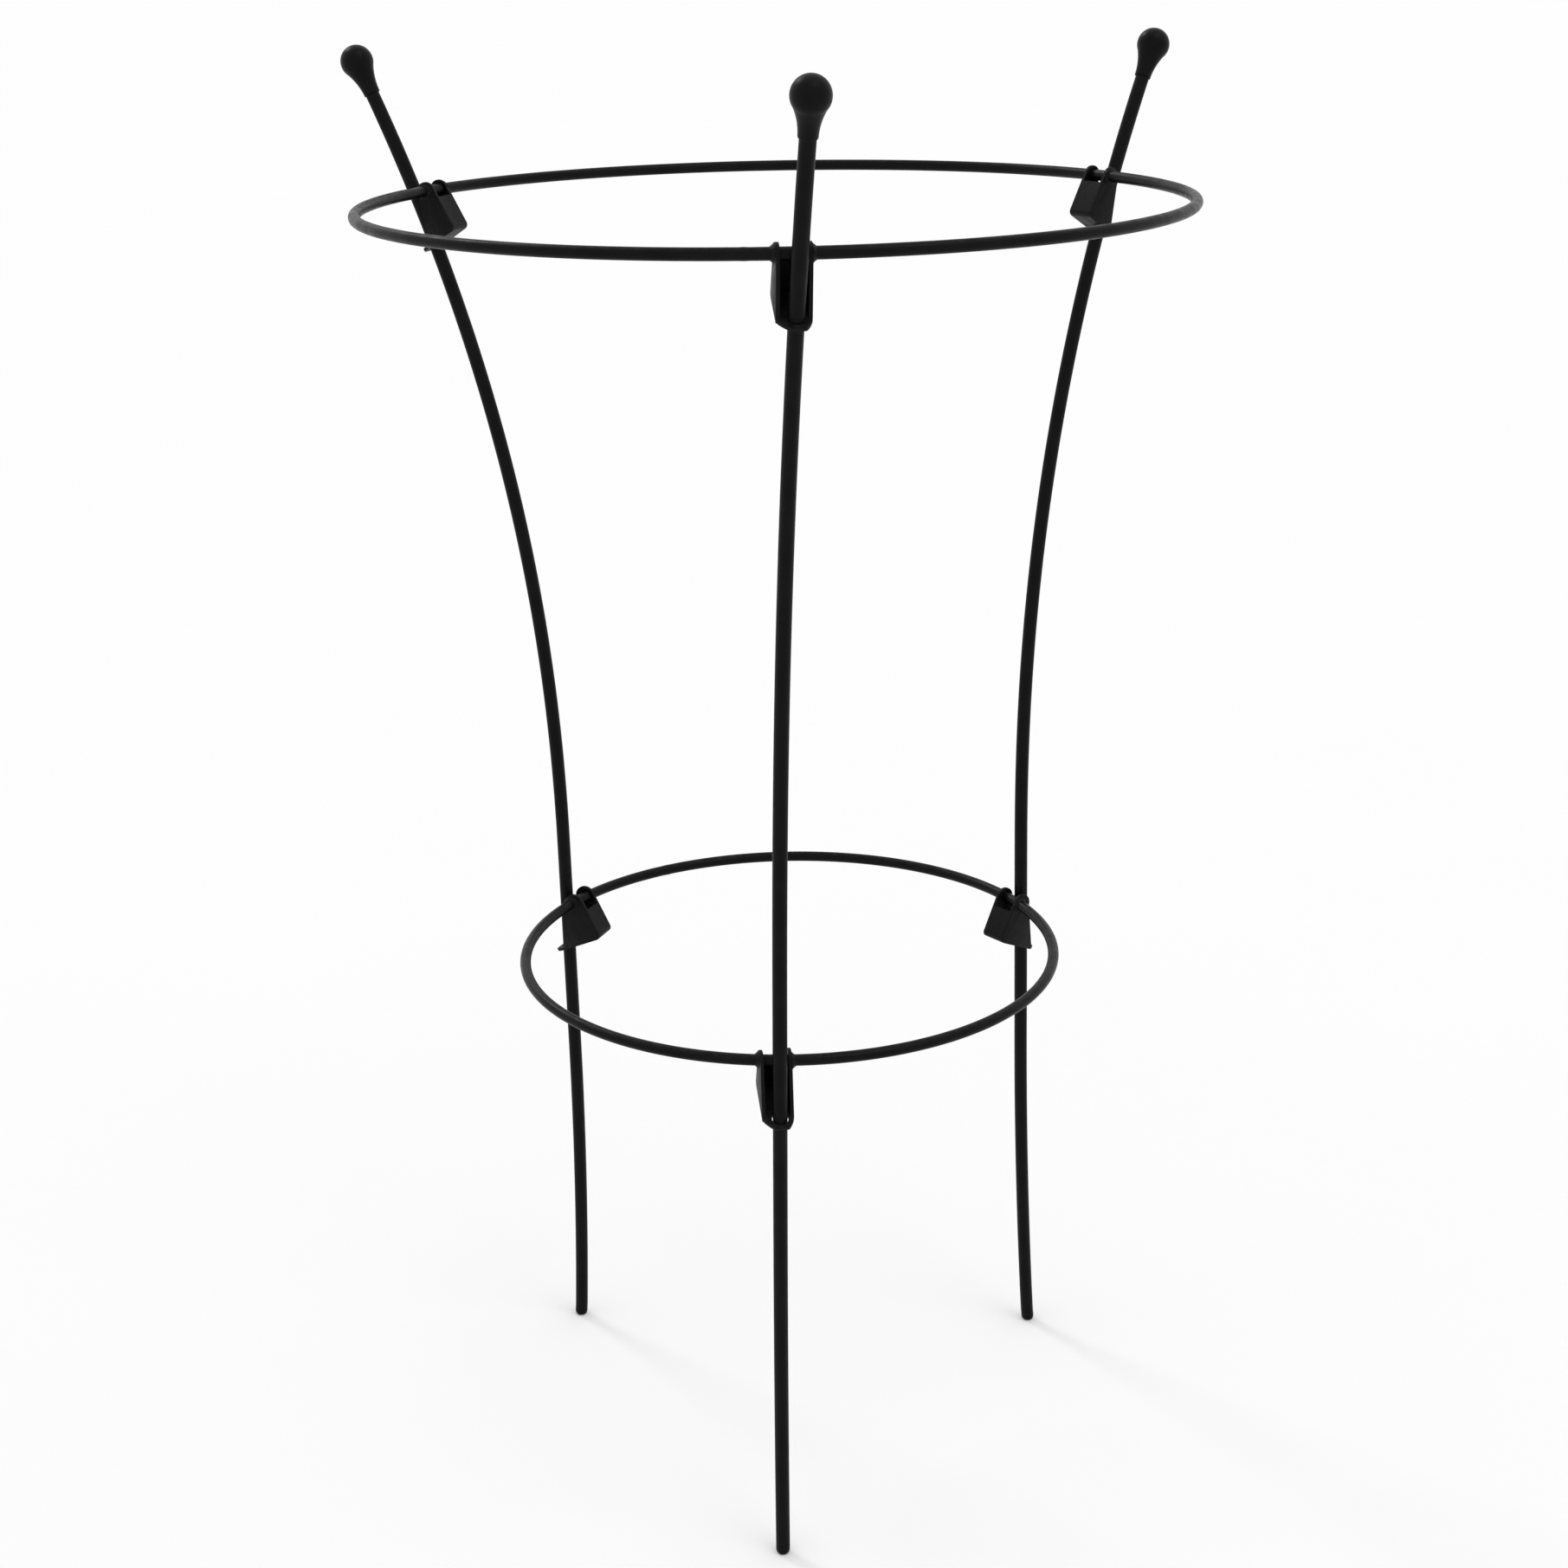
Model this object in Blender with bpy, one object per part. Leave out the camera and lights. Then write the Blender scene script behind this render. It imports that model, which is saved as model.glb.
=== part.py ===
"""Peony support cage: three flared legs with ball finials, two hoops and six folded brackets.

Metres, +Z up. The feet stand on z = 0 and the origin is the bottom centre of the bounding box.
"""

import math

import bmesh
import bpy
from mathutils import Matrix, Vector

# Driving dimensions
MM = 0.001
LEG_COUNT = 3
UPPER_HOOP_OUTSIDE = 457.2 * MM
LOWER_HOOP_OUTSIDE = 320.0 * MM
HOOP_ROD = 6.35 * MM
LEG_ROD = 8.0 * MM
LOWER_HOOP_HEIGHT = 301.0 * MM
HOOP_SPACING = 436.0 * MM
BALL_RISE = 72.0 * MM
BALL = 19.05 * MM

# Leg shape: each leg passes outside both hoops, a set gap away from them
LOWER_ROD_GAP = 1.13 * MM
UPPER_ROD_GAP = 4.15 * MM
FLARE_POWER = 2.19
UPRIGHT_ABOVE = 34.0 * MM
UPRIGHT_BELOW = 95.0 * MM
FOOT_SPLAY = 6.6 * MM
FOOT_TIP = 2.8 * MM
LEG_SIDE_OFFSET = -21.8 * MM
LEG_LEAN = 0.0157
FIRST_LEG_DEG = -90.0

# Finial
NECK_START_DEG = -34.0
NECK_LENGTH = 20.0 * MM
NECK_WALL = 0.8 * MM
BORE_DEPTH_FROM_BALL_CENTRE = 3.0 * MM

# Bracket
SHEET = 2.0 * MM
SIDE_ROOM = 2.7 * MM
BRACKET_SIDE_SHIFT = -1.5 * MM
EYE_WALL = 0.8 * MM
EYE_START_DEG = 200.0
WEB_STEP = 1.5 * MM
APEX_REACH = 17.8 * MM
APEX_DROP = 21.0 * MM
APEX_ROUND = 3.0 * MM
FLOOR_DROP = 33.0 * MM
FLOOR_LIP = 2.0 * MM
TAB_END = 7.0 * MM
CHEEK_FOOT_RISE = 4.0 * MM

# Clearances
FIT_GAP = 0.3 * MM
SLIDE_GAP = 0.8 * MM
EYE_GAP = 0.5 * MM
CUT_SPARE = 5.0 * MM

# Facets
ROD_SIDES = 12
LEG_STEPS = 32
HOOP_STEPS = {"upper": 96, "lower": 72}
TURNED_STEPS = 20
BALL_STEPS = 9
NECK_STEPS = 4
EYE_STEPS = 8

UPPER_HOOP_HEIGHT = LOWER_HOOP_HEIGHT + HOOP_SPACING
BALL_HEIGHT = UPPER_HOOP_HEIGHT + BALL_RISE
FLARE_START = LOWER_HOOP_HEIGHT + UPRIGHT_ABOVE
SPLAY_END = LOWER_HOOP_HEIGHT - UPRIGHT_BELOW
BRACKET_INSIDE = LEG_ROD + 2 * SIDE_ROOM
BRACKET_WIDTH = BRACKET_INSIDE + 2 * SHEET
HOOP_RADIUS = {"upper": (UPPER_HOOP_OUTSIDE - HOOP_ROD) / 2, "lower": (LOWER_HOOP_OUTSIDE - HOOP_ROD) / 2}
HOOP_HEIGHT = {"upper": UPPER_HOOP_HEIGHT, "lower": LOWER_HOOP_HEIGHT}
ROD_GAP = {"upper": UPPER_ROD_GAP, "lower": LOWER_ROD_GAP}
LEG_GAP = {"upper": FIT_GAP, "lower": SLIDE_GAP}
LEG_NAMES = ("front", "right", "left")


def clear_scene():
    for item in list(bpy.data.objects):
        bpy.data.objects.remove(item, do_unlink=True)


def coated_steel(name, colour, roughness):
    material = bpy.data.materials.new(name)
    material.use_nodes = True
    shader = material.node_tree.nodes["Principled BSDF"]
    shader.inputs["Base Color"].default_value = (*colour, 1.0)
    shader.inputs["Metallic"].default_value = 0.0
    shader.inputs["Roughness"].default_value = roughness
    return material


def empty(name, location=(0.0, 0.0, 0.0), parent=None):
    item = bpy.data.objects.new(name, None)
    item.location = location
    item.parent = parent
    bpy.context.collection.objects.link(item)
    return item


def add_object(name, data, parent, material):
    item = bpy.data.objects.new(name, data)
    bpy.context.collection.objects.link(item)
    item.parent = parent
    data.materials.append(material)
    return item


def mesh_from(name, bm, smooth=True):
    bmesh.ops.recalc_face_normals(bm, faces=bm.faces)
    mesh = bpy.data.meshes.new(name)
    bm.to_mesh(mesh)
    bm.free()
    if smooth:
        mesh.shade_smooth()
        mesh.set_sharp_from_angle(angle=math.radians(35))
    return mesh


def leg_side(height):
    """Sideways distance of the leg's centre line from the cage's axis."""
    return LEG_SIDE_OFFSET + LEG_LEAN * (height - UPPER_HOOP_HEIGHT)


def hoop_reach(level):
    """Distance of the hoop's centre line out from the cage's axis, along the middle plane of its bracket."""
    side = leg_side(HOOP_HEIGHT[level]) + BRACKET_SIDE_SHIFT
    return math.sqrt(HOOP_RADIUS[level] ** 2 - side ** 2)


def hoop_standoff(level):
    """Distance from the hoop's centre line out to the leg's centre line."""
    return HOOP_ROD / 2 + ROD_GAP[level] + LEG_ROD / 2


def leg_reach(height):
    """Distance of the leg's centre line out from the cage's axis, along the leg's own plane."""
    waist = hoop_reach("lower") + hoop_standoff("lower")
    widest = hoop_reach("upper") + hoop_standoff("upper")
    flare = max(0.0, (height - FLARE_START) / (UPPER_HOOP_HEIGHT - FLARE_START))
    splay = max(0.0, (SPLAY_END - height) / SPLAY_END)
    return waist + (widest - waist) * flare ** FLARE_POWER + FOOT_SPLAY * splay ** 2


def leg_frame(index):
    """Turn from leg axes (x outward, y sideways, z up) to the cage's axes."""
    return Matrix.Rotation(math.radians(FIRST_LEG_DEG + 360.0 / LEG_COUNT * index), 4, "Z")


def leg_point(height):
    return Vector((leg_reach(height), leg_side(height), height))


def leg_top():
    """Ball centre and the leg's direction there."""
    centre = leg_point(BALL_HEIGHT)
    direction = (centre - leg_point(BALL_HEIGHT - BALL / 2)).normalized()
    return centre, direction


def rod_mesh(name, points, radii, diameter, cyclic=False):
    """Round rod along a line of points, closed at both ends or run into a ring."""
    curve = bpy.data.curves.new(name, "CURVE")
    curve.dimensions = "3D"
    curve.twist_mode = "MINIMUM"
    curve.bevel_depth = diameter / 2
    curve.bevel_resolution = ROD_SIDES // 2 - 2
    curve.use_fill_caps = not cyclic
    spline = curve.splines.new("POLY")
    spline.points.add(len(points) - 1)
    for knot, place, scale in zip(spline.points, points, radii):
        knot.co = (*place, 1.0)
        knot.radius = scale
    spline.use_cyclic_u = cyclic
    rod = bpy.data.objects.new(name + "_line", curve)
    bpy.context.collection.objects.link(rod)
    graph = bpy.context.evaluated_depsgraph_get()
    swept = bpy.data.meshes.new_from_object(rod.evaluated_get(graph))
    bpy.data.objects.remove(rod, do_unlink=True)
    bm = bmesh.new()
    bm.from_mesh(swept)
    bmesh.ops.remove_doubles(bm, verts=bm.verts, dist=0.00001)
    bpy.data.meshes.remove(swept)
    return mesh_from(name, bm)


def leg_path():
    """Points up the leg and the rod's radius scale at each, with a rounded foot."""
    foot = leg_point(0.0)
    rounding = ((0.0, 0.55), (0.18, 0.76), (0.46, 0.92), (1.0, 1.0))
    points = [Vector((foot.x, foot.y, rise * FOOT_TIP)) for rise, scale in rounding]
    radii = [scale for rise, scale in rounding]
    centre, direction = leg_top()
    end = centre - direction * (BORE_DEPTH_FROM_BALL_CENTRE + FIT_GAP)
    stretch = (end.z - FOOT_TIP) / (LEG_STEPS + 1)
    for step in range(1, LEG_STEPS + 1):
        points.append(leg_point(FOOT_TIP + stretch * step))
        radii.append(1.0)
    points.append(end)
    radii.append(1.0)
    return points, radii


def make_leg(index, parent, material):
    points, radii = leg_path()
    turn = leg_frame(index)
    name = "leg_" + LEG_NAMES[index]
    mesh = rod_mesh(name, [turn @ point for point in points], radii, LEG_ROD)
    return add_object(name, mesh, parent, material)


def hoop_point(level, step):
    turn = 2 * math.pi * step / HOOP_STEPS[level]
    radius = HOOP_RADIUS[level]
    return Vector((radius * math.cos(turn), radius * math.sin(turn), HOOP_HEIGHT[level]))


def make_hoop(level, parent, material):
    steps = HOOP_STEPS[level]
    points = [hoop_point(level, step) for step in range(steps)]
    name = level + "_hoop"
    mesh = rod_mesh(name, points, [1.0] * steps, HOOP_ROD, cyclic=True)
    item = add_object(name, mesh, parent, material)
    item.matrix_parent_inverse = parent.matrix_basis.inverted()
    return item


def finial_profile():
    """Outer and bore outline of the finial, as (radius, height from the ball's centre)."""
    ball = BALL / 2
    bore = LEG_ROD / 2 + FIT_GAP
    outline = [(0.0, ball)]
    blend = math.radians(NECK_START_DEG)
    for step in range(1, BALL_STEPS + 1):
        angle = math.radians(90) + (blend - math.radians(90)) * step / BALL_STEPS
        outline.append((ball * math.cos(angle), ball * math.sin(angle)))
    neck_start_radius, neck_start = outline[-1]
    rim = bore + NECK_WALL
    for step in range(1, NECK_STEPS + 1):
        share = step / NECK_STEPS
        height = neck_start + (-NECK_LENGTH - neck_start) * share
        outline.append((rim + (neck_start_radius - rim) * (1 - share) ** 2, height))
    outline.append((bore, -NECK_LENGTH))
    outline.append((bore, -BORE_DEPTH_FROM_BALL_CENTRE))
    outline.append((0.0, -BORE_DEPTH_FROM_BALL_CENTRE))
    return outline


def make_finial(index, parent, material):
    name = "finial_" + LEG_NAMES[index]
    bm = bmesh.new()
    verts = [bm.verts.new((radius, 0.0, height)) for radius, height in finial_profile()]
    edges = [bm.edges.new(pair) for pair in zip(verts, verts[1:])]
    full = 2 * math.pi
    bmesh.ops.spin(bm, geom=verts + edges, cent=(0, 0, 0), axis=(0, 0, 1), angle=full, steps=TURNED_STEPS)
    bmesh.ops.remove_doubles(bm, verts=bm.verts, dist=0.00001)
    item = add_object(name, mesh_from(name, bm), parent, material)
    centre, direction = leg_top()
    upright = Vector((0, 0, 1)).rotation_difference(direction).to_matrix().to_4x4()
    item.matrix_local = leg_frame(index) @ Matrix.Translation(centre) @ upright
    return item


def leg_drift(level, drop):
    """How far inward of its place at the hoop the leg is, at a drop below the hoop."""
    height = HOOP_HEIGHT[level]
    return leg_reach(height) - leg_reach(height - drop)


def hoop_slant(level):
    """How far the hoop moves in or out of line between the bracket's middle and its side."""
    side = leg_side(HOOP_HEIGHT[level]) + BRACKET_SIDE_SHIFT
    return BRACKET_WIDTH / 2 * abs(side) / hoop_reach(level)


def rounded_corner(before, corner, after, radius, steps=4):
    """Points of an arc that rounds a corner of the outline."""
    back = (before - corner).normalized()
    ahead = (after - corner).normalized()
    half = back.angle(ahead) / 2
    length = radius / math.tan(half)
    centre = corner + (back + ahead).normalized() * (radius / math.sin(half))
    first = corner + back * length - centre
    last = corner + ahead * length - centre
    sweep = first.angle_signed(last)
    points = []
    for step in range(steps + 1):
        turned = first.copy()
        turned.rotate(Matrix.Rotation(-sweep * step / steps, 2))
        points.append(centre + turned)
    return points


def eye_arc(eye, radius, last):
    """Points over the top of the eye, from the leg's side to the start of the web."""
    first = math.radians(EYE_START_DEG)
    angles = [first + (last - first) * step / EYE_STEPS for step in range(EYE_STEPS + 1)]
    return [eye + radius * Vector((math.cos(angle), math.sin(angle))) for angle in angles]


def meeting(first, first_run, second, second_run):
    """Where two lines in the bracket's middle plane cross."""
    across = first_run.x * second_run.y - first_run.y * second_run.x
    apart = second - first
    return first + first_run * ((apart.x * second_run.y - apart.y * second_run.x) / across)


def bracket_lines(level):
    """Side view of the bracket, x inward from the leg's centre and y up from the hoop's centre.

    Gives the eye's points, the points round the outside of the web and floor, and the two inner corners.
    """
    eye = Vector((hoop_standoff(level), 0.0))
    eye_bore = HOOP_ROD / 2 + EYE_GAP
    eye_radius = eye_bore + EYE_WALL + hoop_slant(level)
    apex = eye + Vector((APEX_REACH, -APEX_DROP))
    tip = Vector((leg_drift(level, FLOOR_DROP) - LEG_ROD / 2 - FLOOR_LIP, -FLOOR_DROP - SHEET))
    fall = math.atan2(apex.y - eye.y, apex.x - eye.x)
    lean = fall - math.asin(eye_radius / (apex - eye).length)
    around = eye_arc(eye, eye_radius, lean + math.radians(90))
    web = Vector((math.cos(lean), math.sin(lean)))
    floor = (apex - tip).normalized()
    web_top = around[-1] + web * (eye_bore + hoop_slant(level) + WEB_STEP)
    floor_side = tip + Vector((-floor.y, floor.x)) * SHEET
    web_side = web_top + Vector((web.y, -web.x)) * SHEET
    cheek_reach = leg_drift(level, FLOOR_DROP - CHEEK_FOOT_RISE)
    cheek_foot = floor_side + floor * ((cheek_reach - floor_side.x) / floor.x)
    under_foot = cheek_foot - Vector((-floor.y, floor.x)) * SHEET
    outside = [web_top] + rounded_corner(web_top, apex, tip, APEX_ROUND)
    outside += [under_foot, tip, floor_side, cheek_foot]
    return around, outside, [meeting(floor_side, floor, web_side, web), web_side]


def ring_of_quads(bm, first, second):
    """Joins two closed rows of points."""
    for index in range(len(first)):
        bm.faces.new((first[index - 1], first[index], second[index], second[index - 1]))


def folded_sheet(name, around, outside, inside):
    """Two cheeks of the whole side view, with the web and the floor between them.

    The floor's last stretch is a tab that narrows round the leg, beyond the feet of the cheeks.
    """
    bm = bmesh.new()
    sides = (-BRACKET_WIDTH / 2, -BRACKET_INSIDE / 2, BRACKET_INSIDE / 2, BRACKET_WIDTH / 2)
    eyes = [[bm.verts.new((-point.x, side, point.y)) for point in around] for side in sides]
    folds = [[bm.verts.new((-point.x, side, point.y)) for point in outside] for side in sides]
    corners = {row: [bm.verts.new((-point.x, sides[row], point.y)) for point in inside] for row in (1, 2)}
    for side, fold in zip(sides, folds):
        for vert in fold[-3:-1]:
            vert.co.y = TAB_END * side / BRACKET_WIDTH - BRACKET_SIDE_SHIFT
    cheeks = [eye + fold for eye, fold in zip(eyes, folds)]
    for outer, inner in ((0, 1), (3, 2)):
        bm.faces.new(eyes[outer] + folds[outer][:-3] + folds[outer][-1:])
        bm.faces.new(folds[outer][-4:])
        ring_of_quads(bm, cheeks[outer], cheeks[inner])
        corner, web_side = corners[inner]
        bm.faces.new(eyes[inner] + [folds[inner][0], web_side, corner, folds[inner][-1]])
    ring_of_quads(bm, folds[1] + corners[1], folds[2] + corners[2])
    return mesh_from(name, bm, smooth=False)


def cutter(name, data, parent):
    item = bpy.data.objects.new(name, data)
    bpy.context.collection.objects.link(item)
    item.parent = parent
    item.hide_render = True
    item.display_type = "WIRE"
    return item


def cut(item, tool):
    modifier = item.modifiers.new("cut_" + tool.name, "BOOLEAN")
    modifier.operation = "DIFFERENCE"
    modifier.solver = "EXACT"
    modifier.object = tool


def straight_cutter(name, ends, diameter, parent):
    """Round bore along a straight line, with its flats a full radius from the line."""
    data = rod_mesh(name, ends, [1.0, 1.0], diameter / math.cos(math.pi / ROD_SIDES))
    return cutter(name, data, parent)


def hoop_cutter(level, parent):
    """Bore through the bracket's eyes, along the hoop, in the bracket's own axes."""
    side = leg_side(HOOP_HEIGHT[level]) + BRACKET_SIDE_SHIFT
    along = Vector((-side, hoop_reach(level), 0.0)).normalized() * (BRACKET_WIDTH / 2 + CUT_SPARE)
    middle = Vector((-hoop_standoff(level), 0.0, 0.0))
    ends = [middle - along, middle + along]
    return straight_cutter(level + "_hoop_bore_guide", ends, HOOP_ROD + 2 * EYE_GAP, parent)


def leg_cutter(level, parent):
    """Bore through the bracket's floor, along the leg, in the bracket's own axes."""
    height = HOOP_HEIGHT[level]
    origin = Vector((leg_reach(height), leg_side(height) + BRACKET_SIDE_SHIFT, height))
    low = height - FLOOR_DROP - SHEET - CUT_SPARE
    high = height - FLOOR_DROP + CUT_SPARE
    ends = [leg_point(low) - origin, leg_point(high) - origin]
    return straight_cutter(level + "_leg_bore_guide", ends, LEG_ROD + 2 * LEG_GAP[level], parent)


def make_bracket(level, index, parent, material):
    name = level + "_bracket_" + LEG_NAMES[index]
    height = HOOP_HEIGHT[level]
    place = Matrix.Translation((leg_reach(height), leg_side(height) + BRACKET_SIDE_SHIFT, height))
    item = add_object(name, folded_sheet(name, *bracket_lines(level)), parent, material)
    item.matrix_local = parent.matrix_basis.inverted() @ leg_frame(index) @ place
    cut(item, hoop_cutter(level, item))
    cut(item, leg_cutter(level, item))
    return item


def bounding_centre():
    """Middle of the visible pieces' bounding box, seen from above."""
    bpy.context.view_layer.update()
    graph = bpy.context.evaluated_depsgraph_get()
    places = []
    for item in bpy.data.objects:
        if item.type in {"MESH", "CURVE"} and not item.hide_render:
            shape = item.evaluated_get(graph)
            mesh = shape.to_mesh()
            places += [shape.matrix_world @ vert.co for vert in mesh.vertices]
            shape.to_mesh_clear()
    middle = [(min(p[axis] for p in places) + max(p[axis] for p in places)) / 2 for axis in (0, 1)]
    return Vector((middle[0], middle[1], 0.0))


def build():
    clear_scene()
    cage = empty("cage_axis")
    ring = empty("lower_ring_axis", (0.0, 0.0, LOWER_HOOP_HEIGHT), cage)
    black = (0.012, 0.012, 0.012)
    for index, name in enumerate(LEG_NAMES):
        make_leg(index, cage, coated_steel("leg_" + name, black, 0.42))
        make_finial(index, cage, coated_steel("finial_" + name, black, 0.38))
    make_hoop("upper", cage, coated_steel("upper_hoop", black, 0.4))
    make_hoop("lower", ring, coated_steel("lower_hoop", black, 0.4))
    for index, name in enumerate(LEG_NAMES):
        make_bracket("upper", index, cage, coated_steel("upper_bracket_" + name, black, 0.5))
        make_bracket("lower", index, ring, coated_steel("lower_bracket_" + name, black, 0.5))
    cage.location = -bounding_centre()
    bpy.context.view_layer.update()


build()
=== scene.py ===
"""Peony support cage in black powder-coated steel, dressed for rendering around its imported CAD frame."""

import math

import bmesh
import bpy
from mathutils import Matrix, Vector, noise


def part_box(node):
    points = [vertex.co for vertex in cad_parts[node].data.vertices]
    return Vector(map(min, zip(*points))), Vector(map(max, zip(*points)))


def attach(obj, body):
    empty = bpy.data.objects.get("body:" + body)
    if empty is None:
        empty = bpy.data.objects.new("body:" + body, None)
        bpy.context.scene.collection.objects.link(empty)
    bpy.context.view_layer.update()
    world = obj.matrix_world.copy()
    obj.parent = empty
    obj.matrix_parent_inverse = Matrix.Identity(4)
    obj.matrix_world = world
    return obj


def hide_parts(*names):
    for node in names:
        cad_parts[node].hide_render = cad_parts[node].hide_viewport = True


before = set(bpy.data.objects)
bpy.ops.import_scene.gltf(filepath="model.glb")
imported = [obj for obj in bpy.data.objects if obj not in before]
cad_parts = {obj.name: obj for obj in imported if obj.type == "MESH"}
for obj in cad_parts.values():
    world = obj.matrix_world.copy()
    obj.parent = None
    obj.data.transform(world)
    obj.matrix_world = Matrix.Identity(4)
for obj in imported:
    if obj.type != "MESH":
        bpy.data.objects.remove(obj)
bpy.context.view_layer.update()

# Driving sizes in metres, the same as the CAD model's
MM = 0.001
LEG_COUNT = 3
UPPER_HOOP_OUTSIDE = 457.2 * MM
LOWER_HOOP_OUTSIDE = 320.0 * MM
HOOP_ROD = 6.35 * MM
LEG_ROD = 8.0 * MM
LOWER_HOOP_HEIGHT = 301.0 * MM
HOOP_SPACING = 436.0 * MM
BALL_RISE = 72.0 * MM
BALL = 19.05 * MM

# Leg shape, the same as the CAD model's
ROD_GAP = {"upper": 4.15 * MM, "lower": 1.13 * MM}
FLARE_POWER = 2.19
UPRIGHT_ABOVE = 34.0 * MM
UPRIGHT_BELOW = 95.0 * MM
FOOT_SPLAY = 6.6 * MM
FOOT_TIP = 2.8 * MM
FOOT_FLAT = 0.55
LEG_SIDE_OFFSET = -21.8 * MM
LEG_LEAN = 0.0157
FIRST_LEG_DEG = -90.0

# Finial and bracket, the same as the CAD model's
NECK_LENGTH = 20.0 * MM
NECK_START_DEG = -34.0
BORE_TOP = 3.0 * MM
SHEET = 2.0 * MM
SIDE_ROOM = 2.7 * MM
BRACKET_SIDE_SHIFT = -1.5 * MM
EYE_START_DEG = 200.0
EYE_WALL = 0.8 * MM
WEB_STEP = 1.5 * MM
APEX_REACH = 17.8 * MM
APEX_DROP = 21.0 * MM
APEX_ROUND = 3.0 * MM
FLOOR_DROP = 33.0 * MM
FLOOR_LIP = 2.0 * MM
TAB_END = 7.0 * MM
CHEEK_FOOT_RISE = 4.0 * MM
FIT_GAP = 0.3 * MM
EYE_GAP = 0.5 * MM
CUT_SPARE = 5.0 * MM

# Where the dressed part differs from the CAD model: a thinner rim on the finials, a ball that stays
# inside the CAD's facets, and closer holes for the legs, of which the lower ones still let them slide
NECK_WALL = 0.45 * MM
BALL_INSET = 0.04 * MM
LEG_GAP = {"upper": 0.12 * MM, "lower": 0.55 * MM}

# Trim that the CAD model leaves out
RIM_ROUND = 0.3 * MM
RIM_STEP = 0.09 * MM
BORE_EDGE = 0.12 * MM
SHEET_BEND = 1.5 * MM
EDGE_SOFTNESS = 0.28 * MM
EDGE_FULLNESS = 0.6
BEND_FULLNESS = 0.5
SHARP_DEG = 50.0
BEND_END_REACH = 2.0 * MM
CHEEK_TOLERANCE = 0.1 * MM
TAB_EASE = 1.2
TAB_ROUNDNESS = 0.8

# Butt weld of a hoop: a low bead in a shallow dip where it was ground
SEAM_DEG = {"upper": 258.3, "lower": 112.0}
SEAM_BEAD = 0.13 * MM
SEAM_BEAD_REACH = 1.7 * MM
SEAM_DIP = 0.05 * MM
SEAM_DIP_REACH = 4.5 * MM

# Fillet weld where the hoop leaves a cheek. Its section is in millimetres, out from the cheek and up from
# the rod's surface
WELD_SECTION = (
    (1.9, -0.25), (1.75, 0.12), (1.25, 0.5), (0.75, 0.9),
    (0.35, 1.3), (0.05, 1.65), (-0.6, 1.65), (-0.6, -0.25),
)
WELD_RIPPLES = 13
WELD_RIPPLE_DEPTH = 0.1
WELD_RIPPLE_DRIFT = 1.5
WELD_RIPPLE_ROW = 0.3
WELD_LUMPS = 1.7
WELD_LUMP_DEPTH = 0.14
WELD_SEED = {"upper": 40.0, "lower": 0.0}
WELD_SEED_PER_LEG = 7.3
WELD_SEED_PER_SIDE = 2.1

# Smoothness
ROD_SIDES = 32
LEG_STEPS = 150
HOOP_STEPS = {"upper": 288, "lower": 240}
TURNED_STEPS = 64
BALL_STEPS = 36
NECK_STEPS = 18
EYE_STEPS = 28
APEX_STEPS = 9
INNER_BEND_STEPS = 5
SHEET_BEND_STEPS = 5
EDGE_STEPS = 2
BORE_SIDES = 40
WELD_STEPS = 72
SMOOTH_DEG = 35.0
FOOT_STATIONS = (0.0, 0.04, 0.12, 0.24, 0.4, 0.6, 0.8, 1.0)
TAB_STATIONS = (0.0, 0.25, 0.45, 0.62, 0.76, 0.87, 0.94, 0.985, 1.0)
SEAM_STATIONS = (-6, -4, -3, -2.2, -1.5, -0.8, 0, 0.8, 1.5, 2.2, 3, 4, 6)
SAME_PLACE = 0.005 * MM
SLIVER = 0.02 * MM
NO_LENGTH = 1e-9

UPPER_HOOP_HEIGHT = LOWER_HOOP_HEIGHT + HOOP_SPACING
BALL_HEIGHT = UPPER_HOOP_HEIGHT + BALL_RISE
FLARE_START = LOWER_HOOP_HEIGHT + UPRIGHT_ABOVE
SPLAY_END = LOWER_HOOP_HEIGHT - UPRIGHT_BELOW
BRACKET_INSIDE = LEG_ROD + 2 * SIDE_ROOM
BRACKET_WIDTH = BRACKET_INSIDE + 2 * SHEET
HOOP_RADIUS = {"upper": (UPPER_HOOP_OUTSIDE - HOOP_ROD) / 2, "lower": (LOWER_HOOP_OUTSIDE - HOOP_ROD) / 2}
HOOP_HEIGHT = {"upper": UPPER_HOOP_HEIGHT, "lower": LOWER_HOOP_HEIGHT}
LEG_NAMES = ("front", "right", "left")
BODY = {"upper": "cage", "lower": "lower_ring"}

# Looks of the four coats. Peel is the depth of the orange peel, and dust and wear are the most that shows.
COATS = {
    "leg": {
        "colour": (0.003, 0.003, 0.0032), "roughness": 0.42, "peel": 0.07 * MM, "dust": 0.1, "wear": 0.0,
    },
    "hoop": {
        "colour": (0.0035, 0.0035, 0.0038), "roughness": 0.34, "peel": 0.07 * MM, "dust": 0.12, "wear": 0.0,
    },
    "finial": {
        "colour": (0.0028, 0.0028, 0.003), "roughness": 0.36, "peel": 0.06 * MM, "dust": 0.06, "wear": 0.3,
    },
    "bracket": {
        "colour": (0.004, 0.0046, 0.0042), "roughness": 0.46, "peel": 0.09 * MM, "dust": 0.12, "wear": 0.2,
    },
}

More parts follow.
